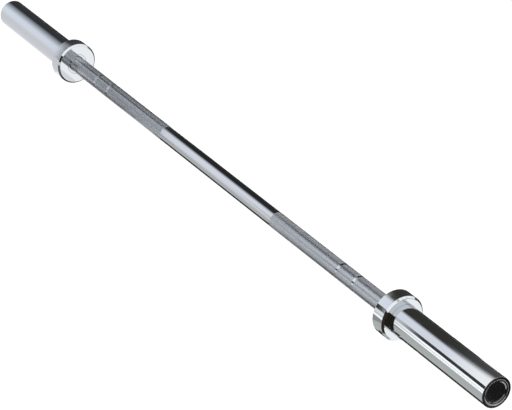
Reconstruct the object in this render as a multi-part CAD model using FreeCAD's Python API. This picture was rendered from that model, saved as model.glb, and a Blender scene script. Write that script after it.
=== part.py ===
"""Olympic barbell: a knurled steel shaft with a sleeve that spins on bushings at each end.

Millimetres. The bar lies along X, the origin is the middle of the shaft on its axis, and Z is up.
"""
import FreeCAD, Part
import math
import os

from FreeCAD import Vector

# Overall sizes
overall_length = 1524.0
grip_length = 1002.0

# Shaft: plain middle, knurled grips with two ring marks a side, turned-down ends
grip_diameter = 28.0
smooth_length = 353.0
knurl_height = 0.15
knurl_end_gap = 2.0
ring_inset = 89.5
ring_pitch = 44.5
ring_width = 4.5
ring_depth = 0.3
journal_diameter = 25.0
end_land = 5.0
end_chamfer = 1.5

# Sleeve and collar
sleeve_diameter = 50.0
sleeve_end_chamfer = 0.4
sleeve_relief_depth = 0.3
sleeve_relief_width = 0.4
spigot_wall = 4.0
mouth_wall = 2.5
collar_diameter = 75.0
collar_width = 29.0
collar_chamfer = 3.0
collar_bore_chamfer = 0.6
collar_seat_depth = 2.0

# Collar washer, the bright ring round the shaft
collar_washer_diameter = 36.0
collar_washer_thickness = 3.0
collar_washer_recess = 0.5
collar_washer_margin = 1.5

# Bushings, thrust washers and circlip
bushing_wall = 5.5
bushing_length = 40.0
bushing_chamfer = 0.8
thrust_washer_thickness = 2.0
circlip_thickness = 1.2
circlip_groove_depth = 0.55
circlip_width = 3.0
circlip_lug_reach = 4.4
circlip_lug_radius = 2.2
circlip_hole_radius = 1.0
circlip_gap_angle = 34.0
circlip_lug_angle = 24.0

# End cap, its bright ring and its dished disc
cap_rim_thickness = 1.2
cap_rim_round = 0.5
cap_plug_depth = 8.0
cap_wall = 2.5
cap_recess_depth = 3.0
cap_disc_diameter = 40.2
cap_disc_edge_thickness = 2.3
cap_disc_land = 1.5
cap_dish_diameter = 30.8
cap_dish_depth = 1.5
cap_ring_width = 1.4
cap_ring_height = 2.8
cap_ring_round = 0.5

# Clearances
running_clearance = 0.05
thrust_washer_bore_clearance = 0.1
thrust_washer_rim_clearance = 0.5
collar_washer_clearance = 0.3
collar_seat_clearance = 0.3
end_float = 0.3
circlip_play = 0.1
socket_clearance = 0.5
shaft_end_clearance = 7.0

# Radii that follow from the sizes above
grip_radius = grip_diameter / 2
knurl_radius = grip_radius + knurl_height
ring_radius = grip_radius - ring_depth
journal_radius = journal_diameter / 2
groove_radius = journal_radius - circlip_groove_depth
bushing_bore_radius = journal_radius + running_clearance
bore_radius = bushing_bore_radius + bushing_wall
sleeve_radius = sleeve_diameter / 2
sleeve_relief_radius = sleeve_radius - sleeve_relief_depth
spigot_radius = bore_radius + spigot_wall
plug_radius = sleeve_radius - mouth_wall
collar_radius = collar_diameter / 2
collar_seat_radius = sleeve_radius + collar_seat_clearance
collar_washer_radius = collar_washer_diameter / 2
cap_rim_radius = sleeve_radius - sleeve_end_chamfer
cap_disc_radius = cap_disc_diameter / 2
cap_land_radius = cap_disc_radius - cap_disc_land
cap_dish_radius = cap_dish_diameter / 2
cap_recess_radius = cap_disc_radius + cap_ring_width

# Places along the bar, from the middle outwards
smooth_end = smooth_length / 2
collar_face = grip_length / 2
knurl_end = collar_face - knurl_end_gap
outer_ring = collar_face - ring_inset
inner_ring = outer_ring - ring_pitch
shoulder = collar_face + collar_washer_recess + collar_washer_thickness + collar_washer_margin
collar_back = collar_face + collar_width
collar_seat = collar_back - collar_seat_depth
relief_end = collar_back + sleeve_relief_width
inner_bushing_start = shoulder + thrust_washer_thickness + end_float
bar_end = overall_length / 2
sleeve_end = bar_end - cap_rim_thickness
plug_start = sleeve_end - cap_plug_depth
socket_start = plug_start - socket_clearance
shaft_end = plug_start - shaft_end_clearance
groove_end = shaft_end - end_land
groove_start = groove_end - circlip_thickness - circlip_play
circlip_start = groove_start + circlip_play / 2
outer_washer_start = circlip_start - thrust_washer_thickness
outer_bushing_start = outer_washer_start - end_float - bushing_length

AXIS = Vector(1, 0, 0)
ORIGIN = Vector(0, 0, 0)
MATCH = 1e-6


def turned(points):
    """Return the solid that a closed outline of (x, radius) points sweeps round the bar's axis."""
    corners = [Vector(x, radius, 0) for x, radius in points]
    outline = Part.makePolygon(corners + corners[:1])
    return Part.Face(outline).revolve(ORIGIN, AXIS, 360)


def ring(start, length, inner, outer):
    """Return a plain ring round the bar's axis."""
    end = start + length
    return turned([(start, inner), (end, inner), (end, outer), (start, outer)])


def rounded(solid, x, radii, size):
    """Return the solid with its circular edges of these radii at x rounded."""
    edges = []
    for edge in solid.Edges:
        curve = edge.Curve
        if isinstance(curve, Part.Circle) and abs(curve.Center.x - x) < MATCH:
            if any(abs(curve.Radius - radius) < MATCH for radius in radii):
                edges.append(edge)
    return solid.makeFillet(size, edges).Solids[0]


def shaft_half_outline():
    """Return the (x, radius) corners of the right half of the shaft, from its middle to its tip."""
    points = [(smooth_end, grip_radius), (smooth_end, knurl_radius)]
    for centre in (inner_ring, outer_ring):
        low = centre - ring_width / 2
        high = centre + ring_width / 2
        points += [(low, knurl_radius), (low, ring_radius), (high, ring_radius), (high, knurl_radius)]
    points += [(knurl_end, knurl_radius), (knurl_end, grip_radius)]
    points += [(shoulder, grip_radius), (shoulder, journal_radius)]
    points += [(groove_start, journal_radius), (groove_start, groove_radius)]
    points += [(groove_end, groove_radius), (groove_end, journal_radius)]
    points += [(shaft_end - end_chamfer, journal_radius), (shaft_end, journal_radius - end_chamfer)]
    return points


def shaft():
    """The shaft, in one piece from end to end."""
    right = shaft_half_outline()
    left = [(-x, radius) for x, radius in reversed(right)]
    return turned([(-shaft_end, 0)] + left + right + [(shaft_end, 0)])


def sleeve():
    """The tube that takes the plates, with a relieved root, a spigot for the collar and a socket for the cap."""
    return turned([
        (shoulder, bore_radius),
        (socket_start, bore_radius),
        (socket_start, plug_radius),
        (sleeve_end, plug_radius),
        (sleeve_end, sleeve_radius - sleeve_end_chamfer),
        (sleeve_end - sleeve_end_chamfer, sleeve_radius),
        (relief_end, sleeve_radius),
        (relief_end, sleeve_relief_radius),
        (collar_seat, sleeve_relief_radius),
        (collar_seat, spigot_radius),
        (shoulder, spigot_radius),
    ])


def collar():
    """The thick ring pressed on the spigot: a web round the collar washer, and a seat for the sleeve."""
    return turned([
        (collar_face + collar_bore_chamfer, collar_washer_radius),
        (shoulder, collar_washer_radius),
        (shoulder, spigot_radius),
        (collar_seat, spigot_radius),
        (collar_seat, collar_seat_radius),
        (collar_back, collar_seat_radius),
        (collar_back, collar_radius - collar_chamfer),
        (collar_back - collar_chamfer, collar_radius),
        (collar_face + collar_chamfer, collar_radius),
        (collar_face, collar_radius - collar_chamfer),
        (collar_face, collar_washer_radius + collar_bore_chamfer),
    ])


def collar_washer():
    """The ring pressed into the collar's web, which closes the gap round the shaft."""
    return ring(
        collar_face + collar_washer_recess,
        collar_washer_thickness,
        grip_radius + collar_washer_clearance,
        collar_washer_radius,
    )


def bushing(start):
    """A bronze bushing pressed into the sleeve's bore, with its outer edges bevelled."""
    end = start + bushing_length
    return turned([
        (start, bushing_bore_radius),
        (end, bushing_bore_radius),
        (end, bore_radius - bushing_chamfer),
        (end - bushing_chamfer, bore_radius),
        (start + bushing_chamfer, bore_radius),
        (start, bore_radius - bushing_chamfer),
    ])


def thrust_washer(start):
    """A flat washer on the shaft's journal."""
    inner = journal_radius + thrust_washer_bore_clearance
    outer = bore_radius - thrust_washer_rim_clearance
    return ring(start, thrust_washer_thickness, inner, outer)


def circlip():
    """The spring ring in the shaft's groove, open at the top, with a drilled lug each side of its gap."""
    body = ring(circlip_start, circlip_thickness, groove_radius, groove_radius + circlip_width)
    reach = groove_radius + circlip_lug_reach
    half_gap = math.radians(circlip_gap_angle / 2)
    far = 2 * reach
    side = far * math.tan(half_gap)
    wedge = Part.Face(Part.makePolygon([
        Vector(circlip_start, 0, 0),
        Vector(circlip_start, -side, far),
        Vector(circlip_start, side, far),
        Vector(circlip_start, 0, 0),
    ])).extrude(AXIS * circlip_thickness)
    body = body.cut(wedge)
    bore = Part.makeCylinder(groove_radius, circlip_thickness, Vector(circlip_start, 0, 0), AXIS)
    for turn in (-circlip_lug_angle, circlip_lug_angle):
        angle = math.radians(turn)
        distance = reach - circlip_lug_radius
        centre = Vector(circlip_start, distance * math.sin(angle), distance * math.cos(angle))
        lug = Part.makeCylinder(circlip_lug_radius, circlip_thickness, centre, AXIS)
        hole = Part.makeCylinder(circlip_hole_radius, circlip_thickness, centre, AXIS)
        body = body.fuse(lug.cut(bore)).cut(hole)
    return body.removeSplitter().Solids[0]


def end_cap():
    """The black cap: a rim over the sleeve's end, a recess for the disc and a hollow plug."""
    recess_floor = bar_end - cap_recess_depth
    hollow_end = recess_floor - cap_wall
    cap = turned([
        (recess_floor, 0),
        (recess_floor, cap_recess_radius),
        (bar_end, cap_recess_radius),
        (bar_end, cap_rim_radius),
        (sleeve_end, cap_rim_radius),
        (sleeve_end, plug_radius),
        (plug_start, plug_radius),
        (plug_start, plug_radius - cap_wall),
        (hollow_end, plug_radius - cap_wall),
        (hollow_end, 0),
    ])
    return rounded(cap, bar_end, [cap_rim_radius], cap_rim_round)


def cap_ring():
    """The bright ring in the cap's recess, with a rounded face."""
    floor = bar_end - cap_recess_depth
    plain = ring(floor, cap_ring_height, cap_disc_radius, cap_recess_radius)
    return rounded(plain, floor + cap_ring_height, [cap_disc_radius, cap_recess_radius], cap_ring_round)


def cap_disc():
    """The bare disc inside the bright ring, dished towards a flat middle."""
    floor = bar_end - cap_recess_depth
    edge = floor + cap_disc_edge_thickness
    dish = edge - cap_dish_depth
    return turned([
        (floor, 0),
        (dish, 0),
        (dish, cap_dish_radius),
        (edge, cap_land_radius),
        (edge, cap_disc_radius),
        (floor, cap_disc_radius),
    ])


def end_pieces():
    """Return every piece of the right-hand end, by name."""
    return {
        "sleeve": sleeve(),
        "collar": collar(),
        "collar_washer": collar_washer(),
        "inner_thrust_washer": thrust_washer(shoulder),
        "inner_bushing": bushing(inner_bushing_start),
        "outer_bushing": bushing(outer_bushing_start),
        "outer_thrust_washer": thrust_washer(outer_washer_start),
        "circlip": circlip(),
        "end_cap": end_cap(),
        "cap_ring": cap_ring(),
        "cap_disc": cap_disc(),
    }


def main():
    """Build the shaft and both ends, and write one file for each piece."""
    os.makedirs("parts", exist_ok=True)
    pieces = {"shaft": shaft()}
    for name, solid in end_pieces().items():
        pieces["right_" + name] = solid
        # The left end is the same set of pieces, turned end for end.
        pieces["left_" + name] = solid.rotated(ORIGIN, Vector(0, 0, 1), 180)
    for name, solid in pieces.items():
        solid.exportStep("parts/" + name + ".step")
        print(name, solid.ShapeType, "valid" if solid.isValid() else "not valid", round(solid.Volume, 1))


main()
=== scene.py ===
"""Looks of the olympic barbell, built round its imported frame.

Metres. The bar lies along X, its axis runs through the origin, and Z is up.
"""

import logging
import math
from collections.abc import Callable, Sequence
from dataclasses import dataclass, field
from enum import Enum
from typing import ClassVar

import bmesh
import bpy
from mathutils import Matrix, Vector


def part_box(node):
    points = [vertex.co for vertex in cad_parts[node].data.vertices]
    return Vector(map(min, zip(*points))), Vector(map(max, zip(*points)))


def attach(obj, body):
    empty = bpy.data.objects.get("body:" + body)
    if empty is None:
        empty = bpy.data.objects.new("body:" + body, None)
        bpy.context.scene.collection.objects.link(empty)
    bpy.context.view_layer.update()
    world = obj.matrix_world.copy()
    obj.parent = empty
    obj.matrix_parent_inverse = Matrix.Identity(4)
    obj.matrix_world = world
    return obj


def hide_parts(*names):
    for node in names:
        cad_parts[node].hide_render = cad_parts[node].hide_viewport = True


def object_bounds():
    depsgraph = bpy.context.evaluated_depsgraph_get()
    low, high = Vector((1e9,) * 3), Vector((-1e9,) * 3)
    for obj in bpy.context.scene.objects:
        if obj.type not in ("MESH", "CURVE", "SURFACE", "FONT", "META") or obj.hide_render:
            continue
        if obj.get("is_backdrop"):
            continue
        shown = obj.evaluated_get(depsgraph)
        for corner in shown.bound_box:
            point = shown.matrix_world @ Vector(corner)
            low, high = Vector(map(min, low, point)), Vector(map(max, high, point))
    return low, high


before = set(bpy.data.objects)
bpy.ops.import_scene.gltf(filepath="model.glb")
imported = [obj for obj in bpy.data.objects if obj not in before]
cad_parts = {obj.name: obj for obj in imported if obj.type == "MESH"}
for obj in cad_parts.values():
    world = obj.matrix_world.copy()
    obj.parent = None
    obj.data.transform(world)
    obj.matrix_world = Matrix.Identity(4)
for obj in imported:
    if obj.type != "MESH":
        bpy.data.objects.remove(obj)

logging.basicConfig(level=logging.INFO, format="%(name)s: %(message)s")
LOG = logging.getLogger("barbell")

MM = 0.001
SAME_PLACE = 1e-6
ROUND_SEGMENTS = 144
EDGE_SEGMENTS = 2
EDGE_DEG = 30
SMOOTH_DEG = 35
QUARTER_TURN = (0.0, math.pi / 2, 0.0)

Colour = tuple[float, float, float]
Opaque = tuple[float, float, float, float]
Corner = tuple[float, float]
Outline = list[Corner]
Place = tuple[float, float, float]
Source = bpy.types.NodeSocket | float
Hue = bpy.types.NodeSocket | Opaque


class Side(Enum):
    """The two ends of the bar."""

    LEFT = "left"
    RIGHT = "right"


class Slot(Enum):
    """The record's material slots of the pieces that are modelled here."""

    SHAFT = "shaft_chrome"
    SLEEVE = "sleeve_chrome"
    WASHER = "washer_bright"
    CAP = "cap_black"
    RING = "ring_bright"
    DISC = "disc_black"


@dataclass(frozen=True)
class Span:
    """Where a round piece lies: its two ends along the bar, and how far it reaches from the axis."""

    start: float
    end: float
    reach: float


def span(node: str) -> Span:
    """Measure a round piece of the right-hand end in the frame."""
    low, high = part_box(node)
    return Span(low.x, high.x, high.y)


def quarter(x: float, radius: float, size: float, start: float, end: float, steps: int = 4) -> Outline:
    """Draw a rounded corner of an outline.

    Args:
        x: Place of the corner's centre along the bar.
        radius: Distance of the corner's centre from the axis.
        size: Radius of the rounding.
        start: Angle of the first point in degrees, 0 towards +X and 90 away from the axis.
        end: Angle of the last point in degrees.
        steps: Number of pieces in the arc.

    Returns:
        The arc's points, as places along the bar and distances from the axis.
    """
    points = []
    for step in range(steps + 1):
        angle = math.radians(start + (end - start) * step / steps)
        points.append((x + size * math.cos(angle), radius + size * math.sin(angle)))
    return points


def begin(name: str) -> bpy.types.Object:
    """Name the piece that was just added, fix its place in its mesh and open it for editing.

    Args:
        name: The new piece's name.

    Returns:
        The new piece, in edit mode.
    """
    piece = bpy.context.active_object
    piece.name = name
    piece.data.name = name
    bpy.ops.object.transform_apply(location=True, rotation=True, scale=True)
    bpy.ops.object.mode_set(mode="EDIT")
    return piece


def pick_points(piece: bpy.types.Object, wanted: Callable[[Vector], bool]) -> None:
    """Select the points of the piece in edit mode that pass a test.

    Args:
        piece: The piece being edited.
        wanted: Says of a point's place whether to take it.
    """
    bpy.ops.mesh.select_mode(type="VERT")
    bpy.ops.mesh.select_all(action="DESELECT")
    mesh = bmesh.from_edit_mesh(piece.data)
    for point in mesh.verts:
        point.select_set(wanted(point.co))
    mesh.select_flush_mode()
    bmesh.update_edit_mesh(piece.data)


def pick_edges(piece: bpy.types.Object, wanted: Callable[[Vector, Vector], bool]) -> None:
    """Select the edges of the piece in edit mode that pass a test.

    Args:
        piece: The piece being edited.
        wanted: Says of an edge's two ends whether to take it.
    """
    bpy.ops.mesh.select_mode(type="EDGE")
    bpy.ops.mesh.select_all(action="DESELECT")
    mesh = bmesh.from_edit_mesh(piece.data)
    for edge in mesh.edges:
        edge.select_set(wanted(edge.verts[0].co, edge.verts[1].co))
    mesh.select_flush_mode()
    bmesh.update_edit_mesh(piece.data)


def off_axis(point: Vector) -> float:
    """Return how far a point lies from the bar's axis."""
    return math.hypot(point.y, point.z)


def end_edit() -> None:
    """Merge doubled points, turn the faces outwards and leave edit mode."""
    bpy.ops.mesh.select_mode(type="VERT")
    bpy.ops.mesh.select_all(action="SELECT")
    bpy.ops.mesh.remove_doubles(threshold=SAME_PLACE)
    bpy.ops.mesh.normals_make_consistent(inside=False)
    bpy.ops.object.mode_set(mode="OBJECT")


def pull(old: Corner, new: Corner) -> None:
    """Pull the selected ring of edges on to the next corner of a turned outline.

    Args:
        old: Place along the bar and radius of the ring now.
        new: Place along the bar and radius to pull it to.
    """
    bpy.ops.mesh.extrude_edges_move(TRANSFORM_OT_translate={"value": (new[0] - old[0], 0, 0)})
    if new[1] == 0:
        bpy.ops.mesh.merge(type="COLLAPSE")
    elif new[1] != old[1]:
        scale = new[1] / old[1]
        bpy.ops.transform.resize(value=(1, scale, scale), center_override=(new[0], 0, 0))


def supported(outline: Outline, gap: float) -> Outline:
    """Add a ring near both ends of every long run, so that a rounded corner bends no shading between.

    Args:
        outline: Corners as places along the bar and radii.
        gap: Distance of the new rings from the corners.

    Returns:
        The outline with the new rings.
    """
    long_run = 4 * gap
    points = []
    for (x, radius), (next_x, next_radius) in zip(outline, outline[1:]):
        points.append((x, radius))
        length = math.hypot(next_x - x, next_radius - radius)
        if length > long_run:
            for share in (gap / length, 1 - gap / length):
                points.append((x + (next_x - x) * share, radius + (next_radius - radius) * share))
    return [*points, outline[-1]]


def turned(name: str, outline: Outline, rounding: float) -> bpy.types.Object:
    """Turn a piece as on a lathe: draw a circle at one corner and pull it from corner to corner.

    Args:
        name: The new piece's name.
        outline: Corners as places along the bar and radii. One that starts and ends on the axis makes a solid
            piece, and any other is closed into a ring.
        rounding: Width of the small bevel on every sharp edge.

    Returns:
        The turned piece.
    """
    solid = outline[0][1] == 0
    support_gap = 3 * rounding
    path = supported(outline[1:-1] if solid else [*outline, outline[0]], support_gap)
    first, rest = path[0], path[1:] + outline[-1:] * solid
    bpy.ops.object.select_all(action="DESELECT")
    bpy.ops.mesh.primitive_circle_add(
        vertices=ROUND_SEGMENTS, radius=first[1], location=(first[0], 0, 0), rotation=QUARTER_TURN
    )
    piece = begin(name)
    bpy.ops.mesh.select_mode(type="EDGE")
    bpy.ops.mesh.select_all(action="SELECT")
    corner = first
    for following in rest:
        pull(corner, following)
        corner = following
    if solid:
        pick_points(piece, lambda p: max(abs(p.x - first[0]), abs(off_axis(p) - first[1])) < SAME_PLACE)
        pull(first, outline[0])
    end_edit()
    bevel = piece.modifiers.new("edge_break", "BEVEL")
    bevel.width = rounding
    bevel.segments = EDGE_SEGMENTS
    bevel.limit_method = "ANGLE"
    bevel.angle_limit = math.radians(EDGE_DEG)
    bpy.ops.object.modifier_apply(modifier=bevel.name)
    bpy.ops.object.shade_smooth_by_angle(angle=math.radians(SMOOTH_DEG))
    return piece


def turned_round(piece: bpy.types.Object, name: str) -> bpy.types.Object:
    """Copy a piece of the right-hand end to the left-hand end, turned end for end.

    Args:
        piece: The piece at the right-hand end.
        name: The copy's name.

    Returns:
        The copy, with its own mesh.
    """
    bpy.ops.object.select_all(action="DESELECT")
    piece.select_set(True)
    bpy.context.view_layer.objects.active = piece
    bpy.ops.object.duplicate(linked=False)
    copy = bpy.context.active_object
    copy.name = name
    copy.data.name = name
    bpy.ops.transform.rotate(value=math.pi, orient_axis="Z", center_override=(0, 0, 0))
    bpy.ops.object.transform_apply(location=True, rotation=True, scale=True)
    return copy


class Board:
    """Shader nodes laid out on one node tree."""

    spacing: ClassVar[int] = 200
    mix_sockets: ClassVar[tuple[int, int, int]] = (0, 6, 7)
    mix_result: ClassVar[int] = 2

    def __init__(self, tree: bpy.types.NodeTree) -> None:
        """Start with a clean tree."""
        self.tree = tree
        self.tree.nodes.clear()

    def add(self, kind: str, **settings: object) -> bpy.types.Node:
        """Add a node.

        Args:
            kind: The node's type.
            **settings: Settings of the node by name.

        Returns:
            The new node.
        """
        node = self.tree.nodes.new(kind)
        node.location = (self.spacing * len(self.tree.nodes), 0)
        for key, value in settings.items():
            setattr(node, key, value)
        return node

    def feed(self, target: bpy.types.NodeSocket, source: object) -> None:
        """Set a socket to a value, or join another node's socket to it.

        Args:
            target: The socket to set.
            source: A value, or another node's output.
        """
        if isinstance(source, bpy.types.NodeSocket):
            self.tree.links.new(source, target)
        else:
            target.default_value = source

    def result(self, kind: str, *sources: Source, **settings: object) -> bpy.types.NodeSocket:
        """Add a node, feed its inputs in order and take its first output.

        Args:
            kind: The node's type.
            *sources: Values or sockets for its inputs, from the first on.
            **settings: Settings of the node by name.

        Returns:
            The node's first output.
        """
        node = self.add(kind, **settings)
        for socket, source in zip(node.inputs, sources):
            self.feed(socket, source)
        return node.outputs[0]

    def sum(self, operation: str, *sources: Source) -> bpy.types.NodeSocket:
        """Add a step of arithmetic."""
        return self.result("ShaderNodeMath", *sources, operation=operation)

    def ramp(self, source: Source, low: float, high: float, start: float, end: float) -> bpy.types.NodeSocket:
        """Map a value from the range low to high to start to end, smoothly and without running past them."""
        smooth = {"interpolation_type": "SMOOTHSTEP"}
        return self.result("ShaderNodeMapRange", source, low, high, start, end, **smooth)

    def join(self, x: Source, y: Source, z: Source) -> bpy.types.NodeSocket:
        """Join three values into a vector."""
        return self.result("ShaderNodeCombineXYZ", x, y, z)

    def split(self, place: bpy.types.NodeSocket) -> bpy.types.NodeOutputs:
        """Take a vector apart into its three values."""
        return self.result("ShaderNodeSeparateXYZ", place).node.outputs

    def noise(
        self, place: bpy.types.NodeSocket, scale: float, detail: float = 2.0, rough: float = 0.6
    ) -> bpy.types.NodeSocket:
        """Add a noise pattern.

        Args:
            place: Coordinates to read it at.
            scale: Fineness of the pattern.
            detail: Number of finer layers.
            rough: Strength of the finer layers.

        Returns:
            The socket with the pattern's value.
        """
        node = self.add("ShaderNodeTexNoise")
        for name, value in {"Vector": place, "Scale": scale, "Detail": detail, "Roughness": rough}.items():
            self.feed(node.inputs[name], value)
        return node.outputs[0]

    def blend(self, share: Source, first: Hue, second: Hue) -> bpy.types.NodeSocket:
        """Mix two colours.

        Args:
            share: Share of the second colour.
            first: First colour, or the socket with it.
            second: Second colour, or the socket with it.

        Returns:
            The socket with the mixed colour.
        """
        node = self.add("ShaderNodeMix", data_type="RGBA")
        for number, source in zip(self.mix_sockets, (share, first, second)):
            self.feed(node.inputs[number], source)
        return node.outputs[self.mix_result]

    def show(self, surface: bpy.types.NodeSocket, kind: str = "ShaderNodeOutputMaterial") -> None:
        """Make a shader the one that shows."""
        self.feed(self.add(kind).inputs["Surface"], surface)

    def use(self, group: bpy.types.NodeTree, place: bpy.types.NodeSocket) -> bpy.types.NodeOutputs:
        """Add one of the shared effects.

        Args:
            group: The effect's node group.
            place: Coordinates to read it at.

        Returns:
            The effect's values.
        """
        node = self.add("ShaderNodeGroup", node_tree=group)
        self.feed(node.inputs["Place"], place)
        return node.outputs


def new_material(name: str) -> tuple[bpy.types.Material, Board]:
    """Start a material with an empty board.

    Args:
        name: The material's name.

    Returns:
        The material and its board.
    """
    material = bpy.data.materials.new(name)
    material.use_nodes = True
    return material, Board(material.node_tree)


class Effects:
    """The surface effects that several finishes share, as node groups."""

    fine_rings: ClassVar[float] = 2600.0
    broad_rings: ClassVar[float] = 420.0
    fine_share: ClassVar[float] = 0.6
    face_rings: ClassVar[float] = 1.7
    smudge_scale: ClassVar[float] = 26.0
    scuffs_along: ClassVar[float] = 22.0
    scuffs_round: ClassVar[float] = 150.0
    grain_scale: ClassVar[float] = 3200.0
    dust_scale: ClassVar[float] = 1900.0

    def __init__(self) -> None:
        """Build every group once."""
        self.round = self._round()
        self.turning = self._turning()
        self.wear = self._wear()
        self.specks = self._specks()

    @staticmethod
    def _start(
        name: str, values: Sequence[str]
    ) -> tuple[Board, bpy.types.NodeSocket, bpy.types.NodeInputs]:
        """Open a group with one vector input.

        Args:
            name: The group's name.
            values: Names of the values it puts out.

        Returns:
            Its board, its place socket and the sockets of its values.
        """
        tree = bpy.data.node_groups.new(name, "ShaderNodeTree")
        tree.interface.new_socket("Place", in_out="INPUT", socket_type="NodeSocketVector")
        for value in values:
            tree.interface.new_socket(value, in_out="OUTPUT", socket_type="NodeSocketFloat")
        board = Board(tree)
        place = board.add("NodeGroupInput").outputs["Place"]
        return board, place, board.add("NodeGroupOutput").inputs

    def _round(self) -> bpy.types.NodeTree:
        """Give round coordinates: along the bar, off its axis, and the share of a turn about it.

        Returns:
            The group.
        """
        board, place, out = self._start("Round coordinates", ("Along", "Reach", "Turn"))
        x, y, z = board.split(place)
        flat = board.add("ShaderNodeVectorMath", operation="LENGTH")
        board.feed(flat.inputs[0], board.join(0.0, y, z))
        board.feed(out["Along"], x)
        board.feed(out["Reach"], flat.outputs["Value"])
        board.feed(out["Turn"], board.sum("DIVIDE", board.sum("ARCTAN2", z, y), math.tau))
        return board.tree

    def _turning(self) -> bpy.types.NodeTree:
        """Give the fine rings that turning and polishing leave, along the bar and across its flat faces.

        Returns:
            The group.
        """
        board, place, out = self._start("Turning marks", ("Marks",))
        parts = board.use(self.round, place)
        rings = board.join(parts["Along"], board.sum("MULTIPLY", parts["Reach"], self.face_rings), 0.0)
        fine = board.sum("MULTIPLY", board.noise(rings, self.fine_rings), self.fine_share)
        broad = board.sum("MULTIPLY", board.noise(rings, self.broad_rings, rough=0.5), 1 - self.fine_share)
        board.feed(out["Marks"], board.ramp(board.sum("ADD", fine, broad), 0.3, 0.7, 0.0, 1.0))
        return board.tree

    def _wear(self) -> bpy.types.NodeTree:
        """Give handling marks: soft smudges, and thin scuffs along the bar.

        Returns:
            The group.
        """
        board, place, out = self._start("Handling wear", ("Smudge", "Scuff"))
        parts = board.use(self.round, place)
        smudge = board.noise(place, self.smudge_scale, 4.0, 0.55)
        board.feed(out["Smudge"], board.ramp(smudge, 0.42, 0.72, 0.0, 1.0))
        along = board.sum("MULTIPLY", parts["Along"], self.scuffs_along)
        across = board.sum("MULTIPLY", parts["Turn"], self.scuffs_round)
        streak = board.noise(board.join(along, across, 3.0), 1.0, 3.0)
        board.feed(out["Scuff"], board.ramp(streak, 0.62, 0.74, 0.0, 1.0))
        return board.tree

    def _specks(self) -> bpy.types.NodeTree:
        """Give a fine grain, and a few pale specks of dust.

        Returns:
            The group.
        """
        board, place, out = self._start("Grain and dust", ("Grain", "Dust"))
        board.feed(out["Grain"], board.noise(place, self.grain_scale))
        dust = board.noise(place, self.dust_scale, 1.0, 0.5)
        board.feed(out["Dust"], board.ramp(dust, 0.74, 0.8, 0.0, 1.0))
        return board.tree


class Layers:
    """A material's board with the shared effects laid on it."""

    def __init__(self, board: Board, effects: Effects) -> None:
        """Lay the effects in object coordinates.

        Args:
            board: The material's board.
            effects: The shared effects.
        """
        place = board.add("ShaderNodeTexCoord").outputs["Object"]
        self.board = board
        self.effects = effects
        self.place = place
        self.turning = board.use(effects.turning, place)["Marks"]
        self.smudge, self.scuff = board.use(effects.wear, place)
        self.grain, self.dust = board.use(effects.specks, place)


@dataclass(frozen=True)
class Finish:
    """A surface finish: colour, gloss, and how much of each shared effect shows."""

    name: str
    colour: Colour
    worn_colour: Colour
    metallic: float
    roughness: float
    turning: float = 0.0
    turning_bump: float = 0.0
    smudge: float = 0.0
    scuff: float = 0.0
    grain: float = 0.0
    grain_bump: float = 0.0
    dust: float = 0.0
    coat: float = 0.0
    coat_roughness: float = 0.04
    specular: float = 0.5
    bump_distance: float = 0.02 * MM

    def material(self, effects: Effects) -> bpy.types.Material:
        """Make the finish's material.

        Args:
            effects: The shared effects.

        Returns:
            The material.
        """
        material, board = new_material(self.name)
        layers = Layers(board, effects)
        shader = board.add("ShaderNodeBsdfPrincipled")
        shader.inputs["Metallic"].default_value = self.metallic
        shader.inputs["Specular IOR Level"].default_value = self.specular
        shader.inputs["Coat Weight"].default_value = self.coat
        shader.inputs["Coat Roughness"].default_value = self.coat_roughness
        board.feed(shader.inputs["Base Color"], self.tint(layers))
        gloss: Source = self.roughness
        for mask, strength in (
            (layers.turning, self.turning),
            (layers.smudge, self.smudge),
            (layers.scuff, self.scuff),
            (layers.grain, self.grain),
        ):
            gloss = board.sum("MULTIPLY_ADD", mask, strength, gloss)
        board.feed(shader.inputs["Roughness"], gloss)
        relief = board.sum("MULTIPLY", layers.turning, self.turning_bump)
        relief = board.sum("MULTIPLY_ADD", layers.grain, self.grain_bump, relief)
        bump = board.add("ShaderNodeBump")
        bump.inputs["Distance"].default_value = self.bump_distance
        board.feed(bump.inputs["Height"], relief)
        board.feed(shader.inputs["Normal"], bump.outputs["Normal"])
        board.show(shader.outputs["BSDF"])
        return material

    def tint(self, layers: Layers) -> bpy.types.NodeSocket:
        """Colour the surface: plain, with its wear and dust.

        Args:
            layers: The material's board and effects.

        Returns:
            The socket with the colour.
        """
        board = layers.board
        share = board.sum("MULTIPLY", layers.scuff, self.scuff)
        share = board.sum("MULTIPLY_ADD", layers.dust, self.dust, share)
        return board.blend(share, (*self.colour, 1.0), (*self.worn_colour, 1.0))


@dataclass(frozen=True)
class KnurlFinish(Finish):
    """Chrome over a cut knurl: bright on the flats, with painted shade that darkens it down in the cuts."""

    valley_radius: float = 14.08 * MM
    tip_radius: float = 14.17 * MM
    cut_shade_colour: Colour = (0.345, 0.367, 0.4)

    def tint(self, layers: Layers) -> bpy.types.NodeSocket:
        """Colour the knurl by its depth: painted shade, darker down in the cuts.

        Args:
            layers: The material's board and effects.

        Returns:
            The socket with the colour.
        """
        board = layers.board
        reach = board.use(layers.effects.round, layers.place)["Reach"]
        # painted shade: the colour darkens from the tips of the diamonds to the bottom of the cuts
        depth = board.ramp(reach, self.valley_radius, self.tip_radius, 1.0, 0.0)
        return board.blend(depth, super().tint(layers), (*self.cut_shade_colour, 1.0))


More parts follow.
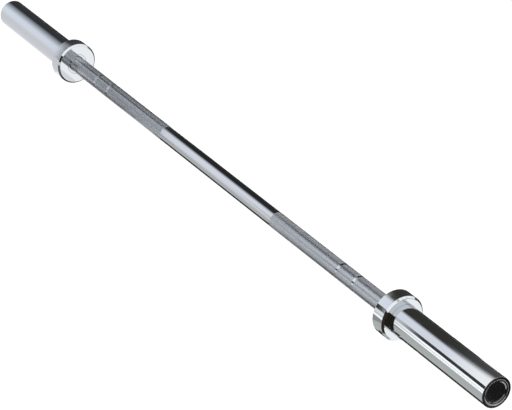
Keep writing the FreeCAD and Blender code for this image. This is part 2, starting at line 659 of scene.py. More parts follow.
CHROME: Colour = (0.575, 0.6, 0.625)
SCUFFED: Colour = (0.5, 0.51, 0.52)
SHAFT_CHROME = Finish(
    "shaft_chrome", CHROME, SCUFFED, metallic=1.0, roughness=0.045,
    turning=0.02, turning_bump=0.05, smudge=0.03, scuff=0.06,
)
SLEEVE_CHROME = Finish(
    "sleeve_chrome", CHROME, SCUFFED, metallic=1.0, roughness=0.035,
    turning=0.02, turning_bump=0.04, smudge=0.03, scuff=0.08,
)
KNURL_CHROME = KnurlFinish(
    "knurl_chrome", (0.565, 0.6, 0.64), SCUFFED, metallic=1.0, roughness=0.14,
    smudge=0.04, grain=0.06,
)
WASHER_BRIGHT = Finish(
    "washer_bright", (0.58, 0.6, 0.62), SCUFFED, metallic=1.0, roughness=0.06,
    turning=0.04, turning_bump=0.1,
)
BRONZE = Finish(
    "bronze", (0.52, 0.33, 0.15), (0.2, 0.12, 0.05), metallic=1.0, roughness=0.3,
    turning=0.1, turning_bump=0.3, grain=0.15, grain_bump=0.3, dust=0.6,
)
WASHER_STEEL = Finish(
    "washer_steel", (0.5, 0.5, 0.49), (0.3, 0.29, 0.28), metallic=1.0, roughness=0.25,
    turning=0.15, turning_bump=0.4, smudge=0.1,
)
SPRING_STEEL = Finish(
    "spring_steel", (0.05, 0.05, 0.052), (0.1, 0.1, 0.1), metallic=0.6, roughness=0.42,
    grain=0.15, grain_bump=0.4,
)
CAP_BLACK = Finish(
    "cap_black", (0.012, 0.012, 0.013), (0.08, 0.08, 0.08), metallic=0.0, roughness=0.3,
    smudge=0.08, grain=0.12, grain_bump=0.5, dust=0.1, specular=0.15,
)
RING_BRIGHT = Finish(
    "ring_bright", (0.5, 0.5, 0.49), SCUFFED, metallic=1.0, roughness=0.4,
    turning=0.05, smudge=0.05,
)
DISC_BLACK = Finish(
    "disc_black", (0.008, 0.008, 0.009), (0.06, 0.06, 0.06), metallic=0.0, roughness=0.12,
    smudge=0.06, dust=0.1, coat=0.5, specular=1.0,
)


class Paint:
    """Every finish of the bar, each made once."""

    def __init__(self) -> None:
        """Make the materials."""
        effects = Effects()
        self.shaft = SHAFT_CHROME.material(effects)
        self.sleeve = SLEEVE_CHROME.material(effects)
        self.knurl = KNURL_CHROME.material(effects)
        self.washer = WASHER_BRIGHT.material(effects)
        self.bronze = BRONZE.material(effects)
        self.thrust = WASHER_STEEL.material(effects)
        self.spring = SPRING_STEEL.material(effects)
        self.cap = CAP_BLACK.material(effects)
        self.ring = RING_BRIGHT.material(effects)
        self.disc = DISC_BLACK.material(effects)


def dress(piece: bpy.types.Object, paint: bpy.types.Material) -> None:
    """Give a piece its only material."""
    piece.data.materials.clear()
    piece.data.materials.append(paint)


def hand_over(piece: bpy.types.Object, paint: bpy.types.Material, body: str, node: str) -> None:
    """Finish a new piece and put it in the place of its frame node.

    Args:
        piece: The new piece.
        paint: Its material.
        body: The body it moves with.
        node: The frame node it stands for.
    """
    dress(piece, paint)
    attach(piece, body)
    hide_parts(node)


@dataclass
class Shaft:
    """The shaft: a turned core with a plain middle, and three bands of knurl on each side of it."""

    paint: Paint
    grip_radius: float = 14.0 * MM
    core_radius: float = 13.7 * MM
    journal_radius: float = 12.5 * MM
    groove_depth: float = 0.55 * MM
    groove_play: float = 0.05 * MM
    end_chamfer: float = 1.5 * MM
    smooth_end: float = 176.5 * MM
    knurl_gap: float = 2.0 * MM
    ring_inset: float = 89.5 * MM
    ring_pitch: float = 44.5 * MM
    ring_width: float = 5.6 * MM
    knurl_base: float = 13.9 * MM
    knurl_cut: float = 0.28 * MM
    knurl_slope: float = 0.29 * MM
    knurl_length: float = 2.7 * MM
    knurl_count: int = 56
    near: float = 0.01 * MM
    edge: float = 0.12 * MM
    pieces: list[bpy.types.Object] = field(default_factory=list)

    def bands(self) -> list[tuple[str, float, float]]:
        """Place the knurl of the right-hand side between the plain middle, the ring marks and the collar.

        Returns:
            Each band's name and its two ends along the bar.
        """
        face = span("right_collar").start
        outer = face - self.ring_inset
        inner = outer - self.ring_pitch
        half = self.ring_width / 2
        return [
            ("inner", self.smooth_end, inner - half),
            ("middle", inner + half, outer - half),
            ("outer", outer + half, face - self.knurl_gap),
        ]

    def core(self) -> bpy.types.Object:
        """Turn the core from end to end.

        Returns:
            The core.
        """
        tip = span("shaft").end
        shoulder = span("right_sleeve").start
        clip = span("right_circlip")
        groove = self.journal_radius - self.groove_depth
        right = []
        for _, start, end in self.bands():
            right += [
                (start, self.grip_radius),
                (start, self.core_radius),
                (end, self.core_radius),
                (end, self.grip_radius),
            ]
        right += [
            (shoulder, self.grip_radius),
            (shoulder, self.journal_radius),
            (clip.start - self.groove_play, self.journal_radius),
            (clip.start - self.groove_play, groove),
            (clip.end + self.groove_play, groove),
            (clip.end + self.groove_play, self.journal_radius),
            (tip - self.end_chamfer, self.journal_radius),
            (tip, self.journal_radius - self.end_chamfer),
        ]
        left = [(-x, radius) for x, radius in reversed(right)]
        return turned("shaft_core", [(-tip, 0.0), *left, *right, (tip, 0.0)], self.edge)

    def knurl(self, name: str, start: float, end: float) -> bpy.types.Object:
        """Cut one band of diamond knurl.

        Args:
            name: The band's name.
            start: Its end nearer the middle of the bar.
            end: Its end nearer the collar.

        Returns:
            The band, a closed tube with raised diamonds.
        """
        rows = round((end - start) / self.knurl_length)
        bpy.ops.object.select_all(action="DESELECT")
        bpy.ops.mesh.primitive_cylinder_add(
            vertices=self.knurl_count,
            radius=self.knurl_base,
            depth=end - start,
            end_fill_type="NOTHING",
            location=((start + end) / 2, 0, 0),
            rotation=QUARTER_TURN,
        )
        piece = begin(name)
        near = self.near
        pick_edges(piece, lambda a, b: abs(a.x - b.x) > near)
        bpy.ops.mesh.subdivide(number_cuts=rows - 1)
        bpy.ops.mesh.select_mode(type="FACE")
        bpy.ops.mesh.select_all(action="SELECT")
        bpy.ops.mesh.poke(offset=0.0)
        sunk = self.knurl_base * math.cos(math.pi / self.knurl_count)
        limit = (self.knurl_base + sunk) / 2

        def at_end(a: Vector, b: Vector) -> bool:
            """Say whether an edge runs round one end of the band."""
            return any(abs(a.x - x) < near and abs(b.x - x) < near for x in (start, end))

        def on_grid(a: Vector, b: Vector) -> bool:
            """Say whether an edge belongs to the first grid, off the band's ends."""
            return off_axis(a) > limit and off_axis(b) > limit and not at_end(a, b)

        pick_edges(piece, on_grid)
        bpy.ops.mesh.dissolve_edges(use_verts=False)
        pick_points(piece, lambda p: off_axis(p) < limit)
        lift = self.knurl_base / sunk
        bpy.ops.transform.resize(value=(1, lift, lift), center_override=(0, 0, 0))
        bpy.ops.mesh.select_mode(type="FACE")
        bpy.ops.mesh.select_all(action="SELECT")
        bpy.ops.mesh.normals_make_consistent(inside=False)
        bpy.ops.mesh.inset(use_individual=True, thickness=self.knurl_slope, depth=self.knurl_cut)
        pick_edges(piece, lambda a, b: at_end(a, b) and off_axis(a) < self.knurl_base + near)
        bpy.ops.mesh.extrude_edges_move(TRANSFORM_OT_translate={"value": (0, 0, 0)})
        scale = self.core_radius / self.knurl_base
        bpy.ops.transform.resize(value=(1, scale, scale), center_override=(0, 0, 0))
        bpy.ops.mesh.bridge_edge_loops()
        end_edit()
        return piece

    def build(self) -> None:
        """Model and dress the shaft."""
        core = self.core()
        hand_over(core, self.paint.shaft, "shaft", "shaft")
        for name, start, end in self.bands():
            band = self.knurl(f"right_knurl_{name}", start, end)
            for piece in (band, turned_round(band, f"left_knurl_{name}")):
                hand_over(piece, self.paint.knurl, "shaft", "shaft")
                self.pieces.append(piece)
        self.pieces.append(core)


@dataclass
class SleeveEnds:
    """Both ends of the bar: what spins on each, and the bearing parts inside."""

    paint: Paint
    sleeve_chamfer: float = 0.15 * MM
    relief_depth: float = 0.05 * MM
    relief_width: float = 0.1 * MM
    spigot_wall: float = 4.0 * MM
    mouth_wall: float = 2.5 * MM
    socket_play: float = 0.5 * MM
    collar_chamfer: float = 3.0 * MM
    bore_chamfer: float = 0.6 * MM
    seat_depth: float = 2.0 * MM
    seat_play: float = 0.05 * MM
    washer_hole: float = 14.3 * MM
    washer_chamfer: float = 0.4 * MM
    cap_wall: float = 2.5 * MM
    cap_round: float = 0.5 * MM
    ring_round: float = 0.6 * MM
    disc_land: float = 1.5 * MM
    dish_radius: float = 15.4 * MM
    dish_depth: float = 1.5 * MM
    dish_steps: tuple[float, ...] = (0.0, 0.2, 0.45, 0.7, 0.88, 1.0)
    edge: float = 0.15 * MM
    pieces: list[bpy.types.Object] = field(default_factory=list)

    def __post_init__(self) -> None:
        """Measure the right-hand end in the frame."""
        self.sleeve_span = span("right_sleeve")
        self.collar_span = span("right_collar")
        self.washer_span = span("right_collar_washer")
        self.cap_span = span("right_end_cap")
        self.ring_span = span("right_cap_ring")
        self.disc_span = span("right_cap_disc")
        self.bore = span("right_inner_bushing").reach
        self.spigot = self.bore + self.spigot_wall
        self.plug = self.sleeve_span.reach - self.mouth_wall
        self.seat = self.collar_span.end - self.seat_depth

    def sleeve(self) -> bpy.types.Object:
        """Turn the tube that takes the plates.

        Returns:
            The right-hand sleeve.
        """
        tube = self.sleeve_span
        socket = self.cap_span.start - self.socket_play
        root = self.collar_span.end + self.relief_width
        relief = tube.reach - self.relief_depth
        return turned("right_tube", [
            (tube.start, self.bore),
            (socket, self.bore),
            (socket, self.plug),
            (tube.end, self.plug),
            (tube.end, tube.reach - self.sleeve_chamfer),
            (tube.end - self.sleeve_chamfer, tube.reach),
            (root, tube.reach),
            (root, relief),
            (self.seat, relief),
            (self.seat, self.spigot),
            (tube.start, self.spigot),
        ], self.edge)

    def collar(self) -> bpy.types.Object:
        """Turn the thick ring at the root of the sleeve.

        Returns:
            The right-hand collar.
        """
        ring = self.collar_span
        hole = self.washer_span.reach
        shoulder = self.sleeve_span.start
        mouth = self.sleeve_span.reach + self.seat_play
        return turned("right_flange", [
            (ring.start + self.bore_chamfer, hole),
            (shoulder, hole),
            (shoulder, self.spigot),
            (self.seat, self.spigot),
            (self.seat, mouth),
            (ring.end, mouth),
            (ring.end, ring.reach - self.collar_chamfer),
            (ring.end - self.collar_chamfer, ring.reach),
            (ring.start + self.collar_chamfer, ring.reach),
            (ring.start, ring.reach - self.collar_chamfer),
            (ring.start, hole + self.bore_chamfer),
        ], self.edge)

    def washer(self) -> bpy.types.Object:
        """Turn the bright ring round the shaft.

        Returns:
            The right-hand collar washer.
        """
        ring = self.washer_span
        return turned("right_shaft_ring", [
            (ring.start, self.washer_hole + self.washer_chamfer),
            (ring.start + self.washer_chamfer, self.washer_hole),
            (ring.end, self.washer_hole),
            (ring.end, ring.reach),
            (ring.start, ring.reach),
        ], self.edge / 2)

    def cap(self) -> bpy.types.Object:
        """Turn the black cap with its recess and its hollow plug.

        Returns:
            The right-hand end cap.
        """
        cap = self.cap_span
        rim = cap.reach
        floor = self.ring_span.start
        seat = self.sleeve_span.end
        hollow = floor - self.cap_wall
        return turned("right_plug", [
            (floor, 0.0),
            (floor, self.ring_span.reach),
            (cap.end, self.ring_span.reach),
            *reversed(quarter(cap.end - self.cap_round, rim - self.cap_round, self.cap_round, 90, 0)),
            (seat, rim),
            (seat, self.plug),
            (cap.start, self.plug),
            (cap.start, self.plug - self.cap_wall),
            (hollow, self.plug - self.cap_wall),
            (hollow, 0.0),
        ], self.edge)

    def ring(self) -> bpy.types.Object:
        """Turn the thin bright ring in the cap, with a rounded face.

        Returns:
            The right-hand cap ring.
        """
        ring = self.ring_span
        inner = self.disc_span.reach
        top = ring.end - self.ring_round
        return turned("right_bead", [
            (ring.start, inner),
            *reversed(quarter(top, inner + self.ring_round, self.ring_round, 360, 270)),
            *quarter(top, ring.reach - self.ring_round, self.ring_round, 0, 90),
            (ring.start, ring.reach),
        ], self.edge / 3)

    def disc(self) -> bpy.types.Object:
        """Turn the black disc, dished from the bright ring down to a flat middle.

        Returns:
            The right-hand cap disc.
        """
        disc = self.disc_span
        bottom = disc.end - self.dish_depth
        brim = disc.reach - self.disc_land
        slope = []
        for share in self.dish_steps:
            sunk = self.dish_depth * (1 - math.cos(math.pi * share)) / 2
            slope.append((disc.end - sunk, brim + (self.dish_radius - brim) * share))
        return turned("right_face", [
            (disc.start, 0.0),
            (disc.start, disc.reach),
            (disc.end, disc.reach),
            *slope,
            (bottom, 0.0),
        ], self.edge / 3)

    def build(self) -> None:
        """Model the right-hand end, copy it to the left-hand end and dress both."""
        paint = self.paint
        made = [
            ("sleeve", "tube", self.sleeve(), paint.sleeve, Slot.SLEEVE),
            ("collar", "flange", self.collar(), paint.sleeve, Slot.SLEEVE),
            ("collar_washer", "shaft_ring", self.washer(), paint.washer, Slot.WASHER),
            ("end_cap", "plug", self.cap(), paint.cap, Slot.CAP),
            ("cap_ring", "bead", self.ring(), paint.ring, Slot.RING),
            ("cap_disc", "face", self.disc(), paint.disc, Slot.DISC),
        ]
        for node, word, piece, material, slot in made:
            copy = turned_round(piece, f"left_{word}")
            for side, one in ((Side.RIGHT, piece), (Side.LEFT, copy)):
                hand_over(one, material, f"{side.value}_sleeve", f"{side.value}_{node}")
                self.pieces.append(one)
        for side in Side:
            self.dress_inside(side)

    def dress_inside(self, side: Side) -> None:
        """Give the frame's hidden bearing parts their finishes.

        Args:
            side: The end to dress.
        """
        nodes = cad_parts
        finishes = {
            "inner_bushing": self.paint.bronze,
            "outer_bushing": self.paint.bronze,
            "inner_thrust_washer": self.paint.thrust,
            "outer_thrust_washer": self.paint.thrust,
            "circlip": self.paint.spring,
        }
        for node, material in finishes.items():
            dress(nodes[f"{side.value}_{node}"], material)


@dataclass(frozen=True)
class Tint:
    """A slight tint of a grey: its red and its blue against its green."""

    red: float = 1.0
    blue: float = 1.0

    def at(self, level: float) -> Opaque:
        """Give the tinted grey at a level of green."""
        return (level * self.red, level, level * self.blue, 1.0)


PLAIN = Tint()
COLD = Tint(0.95, 1.09)
COOL = Tint(0.98, 1.08)
LILAC = Tint(1.02, 1.05)
WARM = Tint(1.02, 0.85)
OLIVE = Tint(0.97, 0.95)
BROWN_TINT = Tint(1.3, 0.7)


class Light:
    """The light that a card gives back, which shows only as a painted reflection in the bar's mirroring
    surfaces.
    """

    def colour(self, board: Board, place: bpy.types.NodeSocket) -> Hue:
        """Work out the light's colour at a place in object coordinates."""
        raise NotImplementedError

    def material(self, name: str, one_sided: bool) -> bpy.types.Material:
        """Make the glowing material.

        Args:
            name: The material's name.
            one_sided: Whether the card is clear from behind.

        Returns:
            The material.
        """
        material, board = new_material(name)
        light = board.add("ShaderNodeEmission")
        place = board.add("ShaderNodeTexCoord").outputs["Object"]
        board.feed(light.inputs["Color"], self.colour(board, place))
        surface = light.outputs["Emission"]
        if one_sided:
            behind = board.add("ShaderNodeNewGeometry").outputs["Backfacing"]
            clear = board.add("ShaderNodeBsdfTransparent").outputs[0]
            surface = board.result("ShaderNodeMixShader", behind, surface, clear)
        board.show(surface)
        return material


@dataclass(frozen=True)
class Glow(Light):
    """An even glow, or one that fades along the bar from a far level to a near one."""

    far: float
    near: float | None = None
    fade_from: float = 0.0
    fade_to: float = 0.0
    tint: Tint = PLAIN

    def colour(self, board: Board, place: bpy.types.NodeSocket) -> Hue:
        """Give the even colour, or fade it along the bar.

        Args:
            board: The material's board.
            place: Object coordinates.

        Returns:
            The colour, or the socket with it.
        """
        if self.near is None:
            return self.tint.at(self.far)
        share = board.ramp(board.split(place)[0], self.fade_from, self.fade_to, 0.0, 1.0)
        return board.blend(share, self.tint.at(self.far), self.tint.at(self.near))


@dataclass(frozen=True)
class Zone:
    """A stretch of the tent, which paints reflected bands of light and shade into the chrome: where it fades
    in along the bar, and its soft edge from dark to white.

    Edges are in degrees, as on a bent card. Where the white ends in a second soft edge, a grey follows it.
    """

    fade_from: float
    fade_to: float
    edge: tuple[float, float]
    dark: float = 0.05
    white: float = 1.1
    fall: tuple[float, float] | None = None
    grey: float = 0.8
    shade: Tint = PLAIN
    light: Tint = PLAIN
    half_turn: ClassVar[float] = 180.0

    def colour(self, board: Board, angle: bpy.types.NodeSocket) -> bpy.types.NodeSocket:
        """Colour by angle.

        Args:
            board: The material's board.
            angle: The angle, as a share of half a turn.

        Returns:
            The socket with the colour.
        """
        white = self.light.at(self.white)
        stops = [(self.edge[0], self.shade.at(self.dark)), (self.edge[1], white)]
        if self.fall:
            stops += [(self.fall[0], white), (self.fall[1], self.light.at(self.grey))]
        ramp = board.add("ShaderNodeValToRGB")
        board.feed(ramp.inputs[0], angle)
        elements = ramp.color_ramp.elements
        while len(elements) < len(stops):
            elements.new(1.0)
        for element, (degrees, colour) in zip(elements, stops):
            element.position = degrees / self.half_turn
            element.color = colour
        return ramp.outputs["Color"]


@dataclass(frozen=True)
class BandedGlow(Light):
    """A glow in bands round the bar, which change from zone to zone along it."""

    zones: tuple[Zone, ...]

    def colour(self, board: Board, place: bpy.types.NodeSocket) -> Hue:
        """Fade the zones into each other along the bar.

        Args:
            board: The material's board.
            place: Object coordinates.

        Returns:
            The socket with the colour.
        """
        x, y, z = board.split(place)
        angle = board.sum("DIVIDE", board.sum("ARCTAN2", z, y), math.pi)
        shown = self.zones[0].colour(board, angle)
        for zone in self.zones[1:]:
            share = board.ramp(x, zone.fade_from, zone.fade_to, 0.0, 1.0)
            shown = board.blend(share, shown, zone.colour(board, angle))
        return shown


def flat_card(name: str, middle: Place, width: float, depth: float, turn: Place) -> bpy.types.Object:
    """Cut a flat card and put it in its place.

    Args:
        name: The card's name.
        middle: Place of its middle.
        width: Its size along X before it is turned.
        depth: Its size along Y before it is turned.
        turn: Its turn about X, Y and Z in radians.

    Returns:
        The card.
    """
    bpy.ops.object.select_all(action="DESELECT")
    bpy.ops.mesh.primitive_plane_add(size=1.0, location=middle, rotation=turn)
    bpy.context.active_object.scale = (width, depth, 1)
    card = begin(name)
    bpy.ops.object.mode_set(mode="OBJECT")
    return card


def ground() -> float:
    """Return the height of the floor that the collars stand on."""
    low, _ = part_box("right_collar")
    return low.z


@dataclass(frozen=True)
class Card:
    """A glowing card that only the bar's mirroring surfaces see and that lights nothing: it paints
    reflections of light and shade into the chrome, set out as a photographer sets up cards round bright
    metal.
    """

    name: str
    glow: Light
    one_sided: ClassVar[bool] = False

    def shape(self) -> bpy.types.Object:
        """Model the card."""
        raise NotImplementedError

    def build(self) -> None:
        """Model the card, give it its glow and hide it from everything but mirrors."""
        card = self.shape()
        dress(card, self.glow.material(self.name, self.one_sided))
        card.visible_camera = False
        card.visible_shadow = False
        card.visible_diffuse = False
        card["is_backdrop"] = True


@dataclass(frozen=True)
class BentCard(Card):
    """A long card bent round the bar. Angles are in degrees, 0 towards +Y and 90 straight up."""

    x_from: float
    x_to: float
    start: float
    end: float
    distance: float
    segments: ClassVar[int] = 360
    margin: ClassVar[float] = 1e-3

    def shape(self) -> bpy.types.Object:
        """Cut the card from a tube round the bar.

        Returns:
            The card.
        """
        bpy.ops.object.select_all(action="DESELECT")
        bpy.ops.mesh.primitive_cylinder_add(
            vertices=self.segments,
            radius=self.distance,
            depth=self.x_to - self.x_from,
            end_fill_type="NOTHING",
            location=((self.x_from + self.x_to) / 2, 0, 0),
            rotation=QUARTER_TURN,
        )
        card = begin(self.name)

        def outside(point: Vector) -> bool:
            """Say whether a point of the tube lies off the card."""
            angle = (math.degrees(math.atan2(point.z, point.y)) + 90) % 360 - 90
            return not self.start - self.margin <= angle <= self.end + self.margin

        pick_points(card, outside)
        bpy.ops.mesh.delete(type="VERT")
        bpy.ops.object.mode_set(mode="OBJECT")
        return card


@dataclass(frozen=True)
class FloorCard(Card):
    """A card that lies just above the floor, on its own layer of the stack."""

    x_from: float
    x_to: float
    y_from: float
    y_to: float
    layer: int = 1
    turn: float = 0.0
    layer_height: ClassVar[float] = 0.1 * MM

    def shape(self) -> bpy.types.Object:
        """Lay the card.

        Returns:
            The card.
        """
        height = ground() + self.layer * self.layer_height
        middle = ((self.x_from + self.x_to) / 2, (self.y_from + self.y_to) / 2, height)
        turn = (0, 0, math.radians(self.turn))
        return flat_card(self.name, middle, self.x_to - self.x_from, self.y_to - self.y_from, turn)


@dataclass(frozen=True)
class WallCard(Card):
    """A card that stands on the floor square to the bar, seen from one side only and clear from the other."""

    x: float
    y_from: float
    y_to: float
    top: float
    outward: bool = False
    one_sided: ClassVar[bool] = True

    def shape(self) -> bpy.types.Object:
        """Stand the card up.

        Returns:
            The card.
        """
        foot = ground()
        middle = (self.x, (self.y_from + self.y_to) / 2, (foot + self.top) / 2)
        turn = (0, math.pi / 2 if self.outward else -math.pi / 2, 0)
        return flat_card(self.name, middle, self.top - foot, self.y_to - self.y_from, turn)


# The cards' glows, seen only in mirrors: painted reflections, dark, shaded, white and dark brown.
DARK = Glow(0.05)
SHADE = Glow(0.2)
WHITE = Glow(1.4)
BROWN = Glow(0.03, tint=BROWN_TINT)
BRIGHT = 1.4
# The tent lights nothing: stretch by stretch along the bar, its zones paint the bands of light and shade that
# the chrome mirrors.
TENT = BandedGlow((
    # left sleeve and collar
    Zone(-9, -9, (68, 128), shade=COLD, light=COLD),
    # left knurl
    Zone(-3.65, -3.62, (62, 120), 0.1, 0.75, light=COOL),
    # plain middle of the shaft
    Zone(-3.04, -2.99, (79, 112), 0.03, light=COOL),
    # right knurl
    Zone(-2.37, -2.3, (83, 104), shade=WARM, light=COOL),
    # right knurl beside the collar
    Zone(-1.894, -1.886, (58, 86), 0.1, BRIGHT),
    # right collar and sleeve
    Zone(-1.76, -1.72, (85, 104), shade=WARM, light=COOL),
    # right sleeve towards its end
    Zone(-1.47, -1.25, (66, 98), 0.1, BRIGHT),
    Zone(-1.32, -1.2, (52, 84), 0.1, BRIGHT),
    # slopes of the left knurl
    Zone(-1.2, -1.1, (90, 138), 0.1, BRIGHT),
    Zone(-0.82, -0.62, (50, 130), 0.1, BRIGHT),
    # bevels of the collars, which mirror a path from the back of the tent to its front
    Zone(-0.5, -0.2, (7, 13), white=BRIGHT),
    Zone(1.0, 1.2, (14, 24), white=BRIGHT),
    Zone(1.5, 1.7, (36, 46), white=BRIGHT, fall=(78, 92)),
    Zone(1.92, 2.08, (52, 64), white=BRIGHT, fall=(102, 118)),
    Zone(2.22, 2.34, (70, 92), white=BRIGHT),
    # right collar's face, which mirrors the sleeve
    Zone(2.4, 2.55, (0, 25), 0.3, BRIGHT),
))
UNDER_FLAGS = (-0.47, -0.44, -0.41, -0.38, -0.35)
CARDS: tuple[Card, ...] = (
    # round the bar: glowing bands and dark flags, painted reflections of light and shade in the chrome
    BentCard("tent", TENT, -9, 9, 0, 180, 2.3),
    BentCard("side_glow_card", Glow(1.0, 1.65, -1.6, -1.28), -9, -0.6, 166, 181, 2.1),
    BentCard("side_flag", Glow(0.95, 0.03, -2.15, -1.6), -2.2, -1.385, 146, 167, 2.0),
    BentCard("sleeve_flag", Glow(0.95, 0.06, -1.375, -1.25), -1.385, -0.6, 146, 167, 2.0),
    BentCard("left_knurl_flag", Glow(0.08, 0.8, -3.17, -2.99), -3.212, -3.067, 98, 185, 2.0),
    BentCard("left_knurl_gap", Glow(0.42), -3.05, -2.988, 157, 187, 2.0),
    BentCard("left_knurl_glow_card", Glow(0.42, 0.55, -3.0, -2.7), -2.971, -2.655, 157, 187, 2.0),
    BentCard("left_camera_flag", BROWN, -0.1, 1.9, 147, 181, 2.1),
    BentCard("right_camera_flag", BROWN, 1.9, 4, 153, 181, 2.1),
    # on the floor, seen only in the chrome: grey and bright cards paint the floor's reflection, dark cards
    # paint the shadow under the bar and the collars and the dark behind the bar, and white cards paint
    # highlights on the collars' faces and in the cap's dish
    FloorCard("table_pale", Glow(0.92, tint=LILAC), -9, -0.55, -4, -0.006),
    FloorCard("left_knurl_grey", Glow(0.12, 0.3, -0.52, -0.4), -0.53, -0.31, -0.17, -0.026, 2),
    FloorCard("left_knurl_far", Glow(0.12, 0.4, -0.5, -0.3), -0.57, -0.42, -1.2, -0.12, 3),
    FloorCard("shaft_grey", Glow(0.67), -0.31, 0.12, -0.17, -0.006),
    FloorCard("right_knurl_grey", Glow(0.42), 0.12, 0.46, -0.17, -0.006),
    FloorCard("sleeve_grey", Glow(0.67, tint=OLIVE), 0.46, 9, -0.17, -0.006),
    FloorCard("table_bright", Glow(0.9, 1.65, 0.1, 0.35), -0.55, 9, -4, -0.17),
    FloorCard("left_knurl_shade", Glow(0.55), -0.36, -0.24, -0.031, 0.0, 3),
    FloorCard("shaft_shade", DARK, -0.24, 0.14, -0.032, 0.03, 2),
    FloorCard("right_knurl_shade", Glow(0.16), 0.14, 0.495, -0.031, 0.03, 2),
    FloorCard("sleeve_shade", DARK, 0.53, 9, -0.0285, 0.03, 2),
    FloorCard("left_collar_shade", DARK, -0.531, -0.5, -0.037, 0.037, 3),
    FloorCard("right_collar_shade", DARK, 0.495, 0.5262, -0.037, 0.037, 3),
    FloorCard("right_chamfer_white", WHITE, 0.5262, 0.5305, -0.021, 0.0, 4),
    FloorCard("left_face_white", WHITE, -0.5, -0.28, 0.0, 0.17, 2),
    FloorCard("right_face_white", WHITE, 0.53, 0.632, 0.03, 0.17, 2),
    FloorCard("sleeve_back_shade", DARK, 0.632, 0.762, 0.005, 0.17, 4),
    FloorCard("right_root_white", WHITE, 0.53, 0.575, -0.016, 0.0, 3),
    FloorCard("right_far_white", WHITE, 0.7, 6, 0.17, 4, 2),
    FloorCard("end_shade", DARK, 0.762, 1.6, -1.0, 0.17, 4),
    FloorCard("end_white", Glow(2.6), 0.761, 0.817, 0.0015, 0.0135, 5, -36),
    FloorCard("back_shade", DARK, -9, 9, 0.17, 4),
    FloorCard("back_shade_far", DARK, -9, -0.5, 0.03, 0.17),
    FloorCard("back_shade_near", DARK, -0.28, 0.53, 0.03, 0.17),
    # standing beside the right collar, and under the left knurl: dark cards that paint shade into the
    # chrome's reflections there
    WallCard("edge_flag", BROWN, 0.535, -0.6, -0.0345, 0.027),
    WallCard("root_flag", BROWN, 0.552, -0.6, -0.026, -0.015),
    WallCard("face_flag", BROWN, 0.57, -0.6, -0.026, 0.0245),
    WallCard("lower_flag", DARK, 0.548, -0.0235, 0.004, -0.0105, True),
    WallCard("lower_flag_out", DARK, 0.573, -0.0235, 0.004, -0.0105, True),
    WallCard("upper_flag", DARK, 0.632, 0.018, 0.085, 0.018, True),
    *(WallCard(f"under_flag_{n}", SHADE, x, -0.05, 0.02, -0.0145, True) for n, x in enumerate(UNDER_FLAGS)),
)


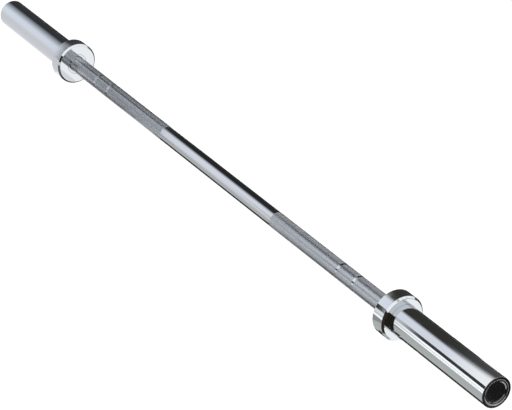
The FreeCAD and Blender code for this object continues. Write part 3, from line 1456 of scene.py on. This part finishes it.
@dataclass
class Studio:
    """The white sweep, its soft light and the cards, and the camera."""

    floor_size: float = 80.0
    floor_colour: float = 0.8
    floor_lift: float = 0.85
    floor_white: float = 1.2
    world_level: float = 0.4
    lamp_height: float = 2.4
    lamp_forward: float = 0.8
    lamp_size: float = 3.0
    lamp_power: float = 60.0
    azimuth: float = 58.4
    elevation: float = 28.85
    distance: float = 3.888
    aim: Place = (0.1135, 0.0, -0.0016)
    lens: float = 169.64
    sensor: float = 36.0
    sight: float = 200.0

    @staticmethod
    def ways(board: Board) -> bpy.types.NodeSocket:
        """Mark the rays that show the background: straight from the camera, mirrored or passed through.

        Args:
            board: The board to add the nodes to.

        Returns:
            The socket with 1 for those rays and 0 for the rest.
        """
        path = board.add("ShaderNodeLightPath").outputs
        shown = board.sum("MAXIMUM", path["Is Camera Ray"], path["Is Glossy Ray"])
        return board.sum("MAXIMUM", shown, path["Is Transmission Ray"])

    def floor(self) -> None:
        """Lay the white floor, which keeps a soft shadow."""
        low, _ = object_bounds()
        floor = flat_card("floor", (0, 0, low.z), self.floor_size, self.floor_size, (0, 0, 0))
        material, board = new_material("floor_white")
        matt = board.add("ShaderNodeBsdfDiffuse")
        matt.inputs["Color"].default_value = PLAIN.at(self.floor_colour)
        white = board.add("ShaderNodeEmission")
        white.inputs["Strength"].default_value = self.floor_white
        share = board.sum("MULTIPLY", self.ways(board), self.floor_lift)
        board.show(board.result("ShaderNodeMixShader", share, matt.outputs[0], white.outputs[0]))
        dress(floor, material)
        floor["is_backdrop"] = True

    def world(self) -> None:
        """Surround the scene with white, dimmer as light than it looks."""
        world = bpy.data.worlds.new("white_room")
        bpy.context.scene.world = world
        world.use_nodes = True
        board = Board(world.node_tree)
        white = board.add("ShaderNodeBackground")
        white.inputs["Color"].default_value = PLAIN.at(1.0)
        board.feed(white.inputs["Strength"], board.ramp(self.ways(board), 0.0, 1.0, self.world_level, 1.0))
        board.show(white.outputs[0], "ShaderNodeOutputWorld")

    def lamp(self) -> None:
        """Hang one wide soft lamp over the bar."""
        light = bpy.data.lights.new("overhead_lamp", "AREA")
        light.shape = "DISK"
        light.size = self.lamp_size
        light.energy = self.lamp_power
        lamp = bpy.data.objects.new("overhead_lamp", light)
        place = Vector((0, -self.lamp_forward, self.lamp_height))
        lamp.location = place
        lamp.rotation_euler = (-place).to_track_quat("-Z", "Y").to_euler()
        lamp.visible_glossy = False
        lamp.visible_camera = False
        bpy.context.scene.collection.objects.link(lamp)

    def camera(self) -> None:
        """Set the camera where the photo was taken from."""
        turn, rise = math.radians(self.azimuth), math.radians(self.elevation)
        back = Vector((math.sin(turn) * math.cos(rise), -math.cos(turn) * math.cos(rise), math.sin(rise)))
        lens = bpy.data.cameras.new("photo_camera")
        lens.lens = self.lens
        lens.sensor_width = self.sensor
        lens.clip_end = self.sight
        camera = bpy.data.objects.new("photo_camera", lens)
        camera.location = Vector(self.aim) + back * self.distance
        camera.rotation_euler = (-back).to_track_quat("-Z", "Y").to_euler()
        bpy.context.scene.collection.objects.link(camera)
        bpy.context.scene.camera = camera

    def build(self) -> None:
        """Set up the whole studio."""
        self.floor()
        for card in CARDS:
            card.build()
        self.world()
        self.lamp()
        self.camera()
        bpy.context.scene.view_settings.view_transform = "Standard"


def main() -> None:
    """Build the bar's looks and its studio, and log the number of faces of each new piece."""
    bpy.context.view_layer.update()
    paint = Paint()
    for assembly in (Shaft(paint), SleeveEnds(paint)):
        assembly.build()
        for piece in assembly.pieces:
            LOG.info("%s: %d faces", piece.name, len(piece.data.polygons))
    Studio().build()


if __name__ == "__main__":
    main()
